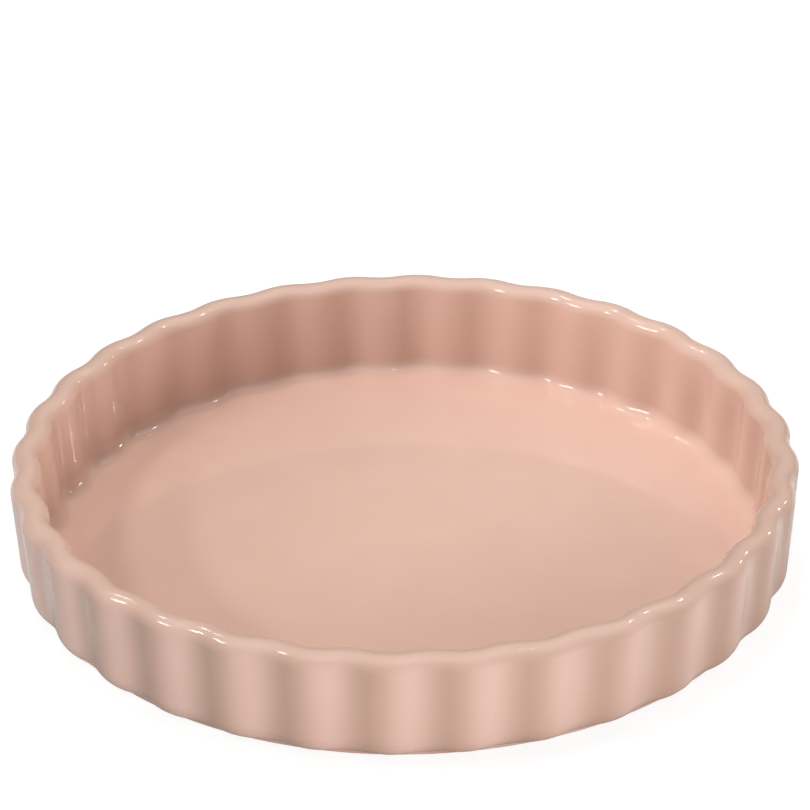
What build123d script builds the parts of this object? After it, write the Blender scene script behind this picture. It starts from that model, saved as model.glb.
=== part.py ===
from build123d import *
import os
from math import atan2, cos, degrees, pi, radians, sin, tan

# Fluted quiche dish: one round stoneware dish, glazed, standing on a bare foot ring.
# Millimetres, +Z up. The origin is the middle of the foot ring's resting plane,
# and +X goes through the crest of a lobe.

# Driving dimensions, over the glaze where the dish is glazed
rim_radius = 140.0            # to the crest of a lobe, at the widest level of the rim
dish_height = 42.0            # resting plane to the top of the rim
flute_count = 32
flute_depth = 1.8             # crest of a lobe to the bottom of a valley
lobe_radius = 26.0            # round of the broad outward lobes
wall_draft = 4.1              # degrees that the wall leans in, going down
wall_thickness = 9.7
heel_radius = 9.4             # rounding under the lobes, outside
heel_height = 0.3             # lowest line of that rounding above the resting plane
cove_radius = 5.5             # rounding between wall and floor, inside
floor_height = 5.6            # top of the floor above the resting plane
foot_inset = 8.5              # foot ring's outside, in from the crests of the lobes
foot_width = 4.0              # bare clay that the dish rests on
foot_edge_round = 0.4
recess_height = 1.0           # clay ceiling inside the foot ring
glaze_thickness = 0.4
bare_height = 0.5             # clay left bare up the outside of the foot ring
cut_overrun = 5.0

# Share of half the wall that each of the rim's two roundings takes
rim_round_share = 0.98

flute_pitch = 360.0 / flute_count
half_pitch = radians(flute_pitch / 2)
lean = tan(radians(wall_draft))
widest_height = dish_height - wall_thickness / 2
foot_radius = rim_radius - foot_inset
half_turn = degrees(pi)

# Tangent arcs of the fluted line: the valley's round follows from the lobe's and the depth
lobe_centre = rim_radius - lobe_radius
valley_bottom = rim_radius - flute_depth
valley_radius = (
    lobe_radius**2
    - lobe_centre**2
    - valley_bottom**2
    + 2 * lobe_centre * valley_bottom * cos(half_pitch)
) / (2 * (valley_bottom - lobe_centre * cos(half_pitch) - lobe_radius))
valley_centre = valley_bottom + valley_radius
lobe_turn = degrees(
    atan2(valley_centre * sin(half_pitch), valley_centre * cos(half_pitch) - lobe_centre)
)
valley_turn = lobe_turn - flute_pitch / 2


def fluted_section(height, inset):
    """Section at a height, its fluted line set in from the glazed outside by inset."""
    outset = (height - widest_height) * lean - inset / cos(radians(wall_draft))
    with BuildSketch(Plane.XY.offset(height)) as section:
        with BuildLine():
            for flute in range(flute_count):
                lobe_at = flute * flute_pitch
                valley_at = lobe_at + flute_pitch / 2
                CenterArc(
                    Vector(lobe_centre, 0).rotate(Axis.Z, lobe_at),
                    lobe_radius + outset,
                    lobe_at - lobe_turn,
                    2 * lobe_turn,
                )
                CenterArc(
                    Vector(valley_centre, 0).rotate(Axis.Z, valley_at),
                    valley_radius - outset,
                    valley_at + half_turn + valley_turn,
                    -2 * valley_turn,
                )
        make_face()
    return section.sketch


def hollow(inset):
    """Space inside the dish, its wall and floor set back behind the glaze by inset."""
    wall = wall_thickness - inset
    floor_line = fluted_section(floor_height - inset, wall)
    mouth_line = fluted_section(dish_height + cut_overrun, wall)
    with BuildPart() as space:
        loft([floor_line, mouth_line], ruled=True)
        fillet(space.faces().sort_by(Axis.Z)[0].edges(), cove_radius + inset)
    return space.part


def dish_form(inset, space):
    """Whole dish as a plain form, set back behind the glaze by inset, with no recess below."""
    heel_line = fluted_section(heel_height + inset, inset)
    rim_line = fluted_section(dish_height - inset, inset)
    with BuildPart() as form:
        loft([heel_line, rim_line], ruled=True)
        fillet(form.faces().sort_by(Axis.Z)[0].edges(), heel_radius - inset)
        with BuildSketch():
            Circle(foot_radius - inset)
        extrude(amount=heel_height + heel_radius)
        add(space, mode=Mode.SUBTRACT)
        rim_round = (wall_thickness / 2 - inset) * rim_round_share
        fillet(form.faces().sort_by(Axis.Z)[-1].edges(), rim_round)
    return form.part


clay_form = dish_form(glaze_thickness, hollow(glaze_thickness))
glazed_form = dish_form(0, hollow(0))

os.makedirs("parts", exist_ok=True)

# The fired clay: fluted wall, floor, and the foot ring left by a shallow recess
with BuildPart() as stoneware_body:
    add(clay_form)
    with BuildSketch(Plane.XY.offset(-cut_overrun)):
        Circle(foot_radius - glaze_thickness - foot_width)
    extrude(amount=cut_overrun + recess_height, mode=Mode.SUBTRACT)
    resting_ring = stoneware_body.faces().sort_by(Axis.Z)[0]
    fillet(resting_ring.edges(), foot_edge_round)
stoneware_body.part.label = "stoneware_body"
export_step(stoneware_body.part, "parts/stoneware_body.step")

# The glaze that shows: inside, over the rim, down the outside and the side of the foot ring
with BuildPart() as glaze_coat:
    add(glazed_form)
    with BuildSketch(Plane.XY.offset(-cut_overrun)):
        Circle(foot_radius - foot_width / 2)
    extrude(amount=cut_overrun + recess_height, mode=Mode.SUBTRACT)
    split(bisect_by=Plane.XY.offset(bare_height), keep=Keep.TOP)
    add(stoneware_body.part, mode=Mode.SUBTRACT)
glaze_coat.part.label = "glaze_coat"
export_step(glaze_coat.part, "parts/glaze_coat.step")

# The glaze in the recess, cut off from the rest by the bare ring
with BuildPart() as underside_glaze:
    with BuildSketch(Plane.XY.offset(recess_height)):
        Circle(foot_radius - glaze_thickness - foot_width)
    extrude(amount=-glaze_thickness)
underside_glaze.part.label = "underside_glaze"
export_step(underside_glaze.part, "parts/underside_glaze.step")
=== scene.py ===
from math import acos, atan2, cos, pi, radians, sin, sqrt, tan

import bmesh
import bpy
from mathutils import Matrix, Vector


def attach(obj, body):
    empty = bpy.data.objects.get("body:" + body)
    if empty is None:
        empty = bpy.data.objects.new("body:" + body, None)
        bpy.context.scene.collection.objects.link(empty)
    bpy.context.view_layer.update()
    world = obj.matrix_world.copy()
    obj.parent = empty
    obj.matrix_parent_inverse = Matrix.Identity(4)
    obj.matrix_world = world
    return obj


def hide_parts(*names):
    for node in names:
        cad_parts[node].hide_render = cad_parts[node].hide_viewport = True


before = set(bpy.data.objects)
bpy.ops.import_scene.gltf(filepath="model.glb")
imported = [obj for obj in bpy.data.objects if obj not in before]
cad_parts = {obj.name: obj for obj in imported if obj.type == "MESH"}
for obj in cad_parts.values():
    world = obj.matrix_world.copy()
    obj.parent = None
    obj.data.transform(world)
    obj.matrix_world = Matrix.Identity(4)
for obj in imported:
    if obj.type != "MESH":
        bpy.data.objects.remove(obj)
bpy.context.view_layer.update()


# The glaze coat
# Pale pink glaze fused over the pressed stoneware, inside, over the round rim and down the fluted
# outside to the foot ring, where the firing made it one glossy skin without a seam. Its colour carries
# painted shade on one flank of each flute and painted light on the other, painted light on the top of
# the rim and painted shade in the hollows inside.

MM = 0.001
rim_radius = 140.0 * MM
dish_height = 42.0 * MM
flute_count = 32
flute_depth = 1.8 * MM
lobe_radius = 26.0 * MM
wall_draft = radians(4.1)
wall_lean = tan(wall_draft)
wall_thickness = 9.7 * MM
rim_round_share = 0.98
heel_radius = 9.4 * MM
heel_height = 0.3 * MM
cove_radius = 5.5 * MM
floor_height = 5.6 * MM
foot_radius = 131.5 * MM
foot_top = 4.0 * MM
glaze_thickness = 0.4 * MM
bare_height = 0.5 * MM
weld = 0.01 * MM

# Tangent arcs of the fluted line: the valley's round follows from the lobe's and the depth
half_pitch = pi / flute_count
lobe_centre = rim_radius - lobe_radius
valley_bottom = rim_radius - flute_depth
valley_radius = (
    lobe_radius**2
    - lobe_centre**2
    - valley_bottom**2
    + 2 * lobe_centre * valley_bottom * cos(half_pitch)
) / (2 * (valley_bottom - lobe_centre * cos(half_pitch) - lobe_radius))
valley_centre = valley_bottom + valley_radius
lobe_turn = atan2(valley_centre * sin(half_pitch), valley_centre * cos(half_pitch) - lobe_centre)


def fluted_radius(azimuth, outset):
    """Distance from the dish's axis to the wavy line that stands outset outside the rim's own."""
    turn = abs((azimuth + half_pitch) % (2 * half_pitch) - half_pitch)
    lobe = lobe_radius + outset
    lobe_end = atan2(lobe * sin(lobe_turn), lobe_centre + lobe * cos(lobe_turn))
    if turn <= lobe_end:
        return lobe_centre * cos(turn) + sqrt(lobe**2 - (lobe_centre * sin(turn)) ** 2)
    valley = valley_radius - outset
    turn = half_pitch - turn
    return valley_centre * cos(turn) - sqrt(valley**2 - (valley_centre * sin(turn)) ** 2)


def wall_line(height):
    """Outside of the wall over the crest of a lobe."""
    return rim_radius + (height - dish_height + wall_thickness / 2) * wall_lean


def go_round(bm, tip, centre, angle, steps):
    """Carries the outline on along an arc and returns its new tip."""
    made = bmesh.ops.spin(
        bm, geom=[tip], cent=(centre[0], 0, centre[1]), axis=(0, 1, 0), angle=angle, steps=steps
    )
    return [v for v in made["geom_last"] if isinstance(v, bmesh.types.BMVert)][0]


def go_straight(bm, tip, end, steps):
    """Carries the outline on along a straight run and returns its new tip."""
    run = (Vector((end[0], 0, end[1])) - tip.co) / steps
    made = bmesh.ops.spin(
        bm, geom=[tip], cent=(0, 0, 0), axis=(0, 1, 0), dvec=run, angle=0, steps=steps
    )
    return [v for v in made["geom_last"] if isinstance(v, bmesh.types.BMVert)][0]


def add_glaze_outline(bm, depth, steps):
    """Half the coat's outline over the crest of a lobe, set in from its surface by depth, from the foot
    ring up, over the rim and along the floor to the axis. steps are those of each bend and run."""
    heel_bend, wall_run, rim_bend, inner_run, cove_bend, floor_run = steps
    heel = heel_radius - depth
    rim = (wall_thickness / 2 - depth) * rim_round_share
    cove = cove_radius + depth
    heel_up = heel_height + heel_radius
    heel_out = wall_line(heel_up) - heel_radius / cos(wall_draft)
    rim_up = dish_height - depth - rim
    rim_out = wall_line(rim_up) - (depth + rim) / cos(wall_draft)
    rim_in = wall_line(rim_up) - (wall_thickness - depth - rim) / cos(wall_draft)
    cove_up = floor_height + cove_radius
    cove_in = wall_line(cove_up) - (wall_thickness + cove_radius) / cos(wall_draft)
    start = acos(min(1, (heel_up - bare_height) / heel))
    first = tip = bm.verts.new((heel_out + heel * sin(start), 0, heel_up - heel * cos(start)))
    tip = go_round(bm, tip, (heel_out, heel_up), start + wall_draft - pi / 2, heel_bend)
    wall_top = (rim_out + rim * cos(wall_draft), rim_up - rim * sin(wall_draft))
    tip = go_straight(bm, tip, wall_top, wall_run)
    tip = go_round(bm, tip, (rim_out, rim_up), -pi / 2 - wall_draft, rim_bend)
    tip = go_straight(bm, tip, (rim_in, rim_up + rim), 1)
    tip = go_round(bm, tip, (rim_in, rim_up), wall_draft - pi / 2, rim_bend)
    inner_foot = (cove_in + cove * cos(wall_draft), cove_up - cove * sin(wall_draft))
    tip = go_straight(bm, tip, inner_foot, inner_run)
    tip = go_round(bm, tip, (cove_in, cove_up), pi / 2 - wall_draft, cove_bend)
    floor_edge = tip.co.x
    go_straight(bm, tip, (0, floor_height - depth), floor_run)
    first.co.z = bare_height
    return first, floor_edge


def add_piece(name, bm):
    """Makes a finished bmesh an object of the scene."""
    mesh = bpy.data.meshes.new(name)
    bm.to_mesh(mesh)
    bm.free()
    piece = bpy.data.objects.new(name, mesh)
    bpy.context.scene.collection.objects.link(piece)
    return piece


# The outline of the glaze's surface and that of its back are joined at the foot, where the coat ends
surface_steps = (14, 5, 11, 4, 10, 5)
back_steps = (7, 2, 5, 2, 4, 2)
flute_steps = 24
glaze_mesh = bmesh.new()
depth_of = glaze_mesh.verts.layers.float.new("depth")
shading_of = glaze_mesh.verts.layers.float.new("painted_flank_shading")
rim_light_of = glaze_mesh.verts.layers.float.new("painted_rim_light")
surface_start, floor_edge = add_glaze_outline(glaze_mesh, 0, surface_steps)
surface = set(glaze_mesh.verts)
back_start, floor_edge = add_glaze_outline(glaze_mesh, glaze_thickness, back_steps)
for v in glaze_mesh.verts:
    v[depth_of] = 0 if v in surface else glaze_thickness
glaze_mesh.edges.new((surface_start, back_start))
bmesh.ops.spin(
    glaze_mesh,
    geom=glaze_mesh.verts[:] + glaze_mesh.edges[:],
    cent=(0, 0, 0),
    axis=(0, 0, 1),
    angle=2 * half_pitch,
    steps=flute_steps,
)

# One flute gets its wave, painted shade on one flank and painted light on the other, and painted light
# on the top of the rim. Inside, that painted shading is weaker and turned to the other flank, with
# painted shade in the hollows
rim_band = 5.0 * MM
# Strength of the painted flank shading inside, and of the painted shade in the inner hollows
inner_flank_shading = 0.35
inner_hollow_shade = 0.15
for v in glaze_mesh.verts:
    across = sqrt(v.co.x**2 + v.co.y**2)
    if across < weld:
        continue
    azimuth = atan2(v.co.y, v.co.x)
    if across < floor_edge:
        waved = across * fluted_radius(azimuth, floor_edge - rim_radius) / floor_edge
    else:
        waved = fluted_radius(azimuth, across - rim_radius)
    below_rim = min(1, (dish_height - v.co.z) / rim_band)
    if across > wall_line(v.co.z) - rim_band:
        # Painted shade on one flank of each outer flute and painted light on the other
        v[shading_of] = below_rim * sin(flute_count * azimuth)
    elif across > floor_edge:
        # Inside: weaker painted flank shading on the other flank, with painted shade in the hollows
        inner_shading = inner_flank_shading * sin(flute_count * azimuth) + inner_hollow_shade * cos(flute_count * azimuth)
        v[shading_of] = -inner_shading * below_rim * min(1, (v.co.z - floor_height) / rim_band)
    # Painted light on the top of the rim
    v[rim_light_of] = 1 - below_rim
    if v.co.z < foot_top and across > floor_edge + cove_radius:
        waved = max(waved, foot_radius - v[depth_of])
    v.co.x *= waved / across
    v.co.y *= waved / across
bmesh.ops.spin(
    glaze_mesh,
    geom=glaze_mesh.verts[:] + glaze_mesh.edges[:] + glaze_mesh.faces[:],
    cent=(0, 0, 0),
    axis=(0, 0, 1),
    angle=2 * pi - 2 * half_pitch,
    steps=flute_count - 1,
    use_duplicate=True,
)
bmesh.ops.remove_doubles(glaze_mesh, verts=glaze_mesh.verts, dist=weld)
bmesh.ops.recalc_face_normals(glaze_mesh, faces=glaze_mesh.faces)
for face in glaze_mesh.faces:
    face.smooth = True
glaze_skin = add_piece("glaze_skin", glaze_mesh)

glaze_pale = (0.742, 0.491, 0.405, 1)
glaze_deep = (0.722, 0.471, 0.386, 1)
# Painted light and painted shade that multiply the glaze colour on the two flanks of each flute
painted_lit_flank = (1.15, 1.18, 1.21, 1)
painted_shaded_flank = (0.84, 0.81, 0.76, 1)
# Painted light on the top of the rim, and how strongly it shows
rim_light_colour = (0.76, 0.55, 0.46, 1)
rim_light_share = 0.4
glaze_refraction = 1.45
mottle_grain = 22 * MM
roll_grain = 25 * MM
roll_height = 0.3 * MM
peel_grain = 2.5 * MM
peel_height = 0.03 * MM


def add_noise(tree, grain, detail):
    """A noise pattern on the piece's own coordinates, whose spots are about grain metres wide."""
    noise = tree.nodes.new("ShaderNodeTexNoise")
    noise.inputs["Scale"].default_value = 1 / grain
    noise.inputs["Detail"].default_value = detail
    tree.links.new(tree.nodes["Texture Coordinate"].outputs["Object"], noise.inputs["Vector"])
    return noise.outputs["Fac"]


def add_attribute(tree, name):
    """A value that the piece carries at each point of its mesh."""
    attribute = tree.nodes.new("ShaderNodeAttribute")
    attribute.attribute_name = name
    return attribute.outputs["Fac"]


def add_range(tree, value, low, high, to_low, to_high):
    """Carries a value from the range low to high over to the range to_low to to_high."""
    fitted = tree.nodes.new("ShaderNodeMapRange")
    fitted.inputs["From Min"].default_value = low
    fitted.inputs["From Max"].default_value = high
    fitted.inputs["To Min"].default_value = to_low
    fitted.inputs["To Max"].default_value = to_high
    tree.links.new(value, fitted.inputs["Value"])
    return fitted.outputs["Result"]


def add_mix(tree, share, first, second, blend="MIX"):
    """Mixes two colours. They and the share are fixed, or come from another node."""
    mixed = tree.nodes.new("ShaderNodeMixRGB")
    mixed.blend_type = blend
    for name, value in (("Fac", share), ("Color1", first), ("Color2", second)):
        if isinstance(value, bpy.types.NodeSocket):
            tree.links.new(value, mixed.inputs[name])
        else:
            mixed.inputs[name].default_value = value
    return mixed.outputs["Color"]


def add_bump(tree, height, strength, distance, under=None):
    """Unevenness distance high where the height is 1, on top of the one under it."""
    bump = tree.nodes.new("ShaderNodeBump")
    bump.inputs["Strength"].default_value = strength
    bump.inputs["Distance"].default_value = distance
    tree.links.new(height, bump.inputs["Height"])
    if under is not None:
        tree.links.new(under, bump.inputs["Normal"])
    return bump.outputs["Normal"]


pink_glaze = bpy.data.materials.new("pink_glaze")
pink_glaze.use_nodes = True
tree = pink_glaze.node_tree
tree.nodes.new("ShaderNodeTexCoord")
shader = tree.nodes["Principled BSDF"].inputs
shader["IOR"].default_value = glaze_refraction

# Soft mottling of the fired glaze, then painted shade and painted light on the two flanks of each flute
mottle = add_noise(tree, mottle_grain, 3)
tone = add_mix(tree, add_range(tree, mottle, 0.3, 0.7, 0, 1), glaze_pale, glaze_deep)
flank_shading = add_range(tree, add_attribute(tree, "painted_flank_shading"), -1, 1, 0, 1)
flank_shaded_tone = add_mix(tree, 1, tone, add_mix(tree, flank_shading, painted_shaded_flank, painted_lit_flank), "MULTIPLY")

# Painted light: the top of the rim is made a little paler
rim = add_range(tree, add_attribute(tree, "painted_rim_light"), 0.2, 1, 0, rim_light_share)
tree.links.new(add_mix(tree, rim, flank_shaded_tone, rim_light_colour), shader["Base Color"])

# The gloss has a faint unevenness, and the melt a slow roll and a fine orange peel
tree.links.new(add_range(tree, mottle, 0.3, 0.7, 0.05, 0.09), shader["Roughness"])
roll = add_bump(tree, add_noise(tree, roll_grain, 1), 0.08, roll_height)
peel = add_bump(tree, add_noise(tree, peel_grain, 2), 0.05, peel_height, roll)
tree.links.new(peel, shader["Normal"])
glaze_skin.data.materials.append(pink_glaze)

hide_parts("glaze_coat")
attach(glaze_skin, "root")


# The stoneware body
# The pressed and fired clay under the glaze, buff and slightly sandy. It shows only on the foot
# ring, where the glaze was wiped off so that the dish wouldn't stick to the kiln shelf.

clay_light = (0.66, 0.54, 0.41, 1)
clay_dark = (0.52, 0.40, 0.28, 1)
iron_speck = (0.16, 0.09, 0.05, 1)
cloud_grain = 9 * MM
speck_grain = 0.9 * MM
sand_grain = 0.5 * MM
sand_height = 0.12 * MM

bare_clay = bpy.data.materials.new("bare_clay")
bare_clay.use_nodes = True
tree = bare_clay.node_tree
tree.nodes.new("ShaderNodeTexCoord")
shader = tree.nodes["Principled BSDF"].inputs
cloud = add_noise(tree, cloud_grain, 5)
clay = add_mix(tree, add_range(tree, cloud, 0.35, 0.7, 0, 1), clay_light, clay_dark)
specks = add_range(tree, add_noise(tree, speck_grain, 1), 0.7, 0.76, 0, 0.8)
tree.links.new(add_mix(tree, specks, clay, iron_speck), shader["Base Color"])
tree.links.new(add_range(tree, cloud, 0.3, 0.7, 0.75, 0.9), shader["Roughness"])
tree.links.new(add_bump(tree, add_noise(tree, sand_grain, 3), 0.6, sand_height), shader["Normal"])

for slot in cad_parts["stoneware_body"].material_slots:
    slot.material = bare_clay


# The underside glaze
# The same pink glaze in the shallow recess inside the foot ring, cut off from the rest by the
# bare ring. It is left as it melted, so it keeps the coat's finish.

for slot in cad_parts["underside_glaze"].material_slots:
    slot.material = pink_glaze


# The floor and backdrop
# One plain pale plane under the dish. The camera sees it as white with a faint shadow of the dish, and
# it runs out into the white room without an edge in sight. The glaze mirrors it as a plainly lit pale
# floor, so it is darker there and shows more of the shadow.

ground_reach = 1.4
ground_albedo = 0.6
mirrored_glow, mirrored_albedo = 0.15, 0.7
seen_glow, seen_albedo = 0.88, 0.25


def add_either(tree, first, second):
    """1 where either of two values that are 0 or 1 is 1."""
    either = tree.nodes.new("ShaderNodeMath")
    either.operation = "MAXIMUM"
    tree.links.new(first, either.inputs[0])
    tree.links.new(second, either.inputs[1])
    return either.outputs[0]


def add_pale(tree, glow, albedo):
    """A pale surface of which one share glows and the other is lit, so only that one shows shadows."""
    glowing = tree.nodes.new("ShaderNodeEmission")
    glowing.inputs["Color"].default_value = (1, 1, 1, 1)
    glowing.inputs["Strength"].default_value = glow
    lit = tree.nodes.new("ShaderNodeBsdfDiffuse")
    lit.inputs["Color"].default_value = (albedo, albedo, albedo, 1)
    pale = tree.nodes.new("ShaderNodeAddShader")
    tree.links.new(glowing.outputs[0], pale.inputs[0])
    tree.links.new(lit.outputs[0], pale.inputs[1])
    return pale.outputs[0]


def add_choice(tree, share, plain, other):
    """The plain shader, or the other one where share is 1."""
    choice = tree.nodes.new("ShaderNodeMixShader")
    tree.links.new(share, choice.inputs[0])
    tree.links.new(plain, choice.inputs[1])
    tree.links.new(other, choice.inputs[2])
    return choice.outputs[0]


ground_mesh = bmesh.new()
bmesh.ops.create_grid(ground_mesh, x_segments=1, y_segments=1, size=ground_reach)
ground = add_piece("ground", ground_mesh)
pale_ground = bpy.data.materials.new("pale_ground")
pale_ground.use_nodes = True
tree = pale_ground.node_tree
tree.nodes.clear()
path = tree.nodes.new("ShaderNodeLightPath").outputs
mirrored = add_either(tree, path["Is Glossy Ray"], path["Is Transmission Ray"])
lit_ground = add_pale(tree, 0, ground_albedo)
unseen = add_choice(tree, mirrored, lit_ground, add_pale(tree, mirrored_glow, mirrored_albedo))
whole = add_choice(tree, path["Is Camera Ray"], unseen, add_pale(tree, seen_glow, seen_albedo))
tree.links.new(whole, tree.nodes.new("ShaderNodeOutputMaterial").inputs["Surface"])
ground.data.materials.append(pale_ground)


# The dark curtain
# Black cloth hangs round the set, outside the lamps and out of the picture. The wet-looking glaze
# mirrors it, which keeps the mirrored far rim and the edges of the wall from going milky.

curtain_radius = 2.6
curtain_height = 3.0
curtain_mesh = bmesh.new()
bmesh.ops.create_cone(
    curtain_mesh,
    cap_ends=False,
    segments=64,
    radius1=curtain_radius,
    radius2=curtain_radius,
    depth=curtain_height,
)
bmesh.ops.translate(curtain_mesh, verts=curtain_mesh.verts, vec=(0, 0, curtain_height / 2))
dark_curtain = add_piece("dark_curtain", curtain_mesh)
black_cloth = bpy.data.materials.new("black_cloth")
black_cloth.use_nodes = True
shader = black_cloth.node_tree.nodes["Principled BSDF"].inputs
shader["Base Color"].default_value = (0.03, 0.03, 0.03, 1)
shader["Roughness"].default_value = 0.9
dark_curtain.data.materials.append(black_cloth)
dark_curtain.visible_camera = False
dark_curtain.visible_diffuse = False
dark_curtain.visible_shadow = False


# The light
# Two narrow beams from the left and the front left light the floor and the inside of the far wall.
# A wide softbox on the left leaves the long glints on the rim and in the cove. Soft lamps fill in from
# the right, overhead and low in front, and four small ones do little more than leave glints.

# The watts at which a lamp 1 m off makes a surface that faces it show its own colour. The share that
# each lamp gives of that is in its call.
FACING_WATTS = pi**2
white = (1, 1, 1)
beam_distance = 1.2
beam_width = radians(11)


def away_from(azimuth, elevation):
    """Unit vector from the dish towards a lamp."""
    azimuth, elevation = radians(azimuth), radians(elevation)
    return Vector((cos(azimuth) * cos(elevation), sin(azimuth) * cos(elevation), sin(elevation)))


def hang_light(light, away, aim, distance, mirrored):
    """Hangs a light at a distance from the point that it is aimed at."""
    hung = bpy.data.objects.new(light.name, light)
    hung.visible_glossy = mirrored
    hung.location = aim + away * distance
    hung.rotation_euler = away.to_track_quat("Z", "Y").to_euler()
    bpy.context.scene.collection.objects.link(hung)


def add_lamp(name, azimuth, elevation, size, share, colour, distance=2.0, widened=1, mirrored=True):
    """A soft lamp that looks at the dish and gives it a share of plain light."""
    lamp = bpy.data.lights.new(name, "AREA")
    lamp.shape = "RECTANGLE"
    lamp.size = size * widened
    lamp.size_y = size
    lamp.energy = share * FACING_WATTS * distance**2
    lamp.color = colour
    hang_light(lamp, away_from(azimuth, elevation), Vector((0, 0, 0)), distance, mirrored)


def add_beam(name, azimuth, elevation, share, past, colour):
    """A lamp with a narrow soft-edged beam, aimed past the middle of the dish to its far side."""
    beam = bpy.data.lights.new(name, "SPOT")
    beam.spot_size = beam_width
    beam.spot_blend = 0.7
    beam.shadow_soft_size = 0.07
    beam.energy = share * 4 * FACING_WATTS * beam_distance**2
    beam.color = colour
    away = away_from(azimuth, elevation)
    far_side = Vector((-away.x, -away.y, 0)).normalized() * past
    hang_light(beam, away, far_side, beam_distance, False)


add_beam("key_beam", -127.5, 56, 0.31, 0.085, (0.97, 1, 1))
add_beam("low_beam", -156, 30, 0.28, 0.034, (0.92, 0.97, 1))
add_lamp("left_softbox", -163, 47, 0.27, 0.23, (1, 0.98, 0.94), widened=2)
add_lamp("right_lamp", 35, 13, 0.5, 0.37, (1, 0.97, 0.90), mirrored=False)
add_lamp("top_lamp", 130, 80, 0.6, 0.51, white, mirrored=False)
add_lamp("front_lamp", -70, 8, 0.15, 0.46, white, distance=0.8, mirrored=False)
add_lamp("right_glint", 38, 27, 0.15, 0.04, white)
add_lamp("back_right_glint", 33, 54, 0.12, 0.04, white)
add_lamp("back_left_glint", 130, 56, 0.12, 0.03, white)
add_lamp("overhead_glint", -52, 75, 0.12, 0.02, white)

# The room is white to the camera, and in mirror images above the curtain. It gives almost no light
room_dim = (0.02, 0.02, 0.02, 1)
room_seen = (1, 1, 1, 1)
room = bpy.data.worlds.new("room")
bpy.context.scene.world = room
room.use_nodes = True
tree = room.node_tree
path = tree.nodes.new("ShaderNodeLightPath").outputs
mirrored = add_either(tree, path["Is Glossy Ray"], path["Is Transmission Ray"])
shade = add_mix(tree, add_either(tree, mirrored, path["Is Camera Ray"]), room_dim, room_seen)
tree.links.new(shade, tree.nodes["Background"].inputs["Color"])


# The camera
# It stands where the photograph's stood, found from the dish's outline, and looks down on the dish
# from the front with a long lens.

camera = bpy.data.cameras.new("camera")
camera.sensor_width = 36.0
camera.lens = 181.61
camera_object = bpy.data.objects.new("camera", camera)
turn = radians(2.548)
roll = 0.00982
place = Vector((0, -1.26166, 0.75908))
aim = Vector((0.00043, 0, 0.06025))
look = (place - aim).to_track_quat("Z", "Y").to_matrix().to_4x4()
camera_object.matrix_world = (
    Matrix.Rotation(turn, 4, "Z") @ Matrix.Translation(place) @ look @ Matrix.Rotation(-roll, 4, "Z")
)
bpy.context.scene.collection.objects.link(camera_object)
bpy.context.scene.camera = camera_object
bpy.context.scene.view_settings.view_transform = "Standard"
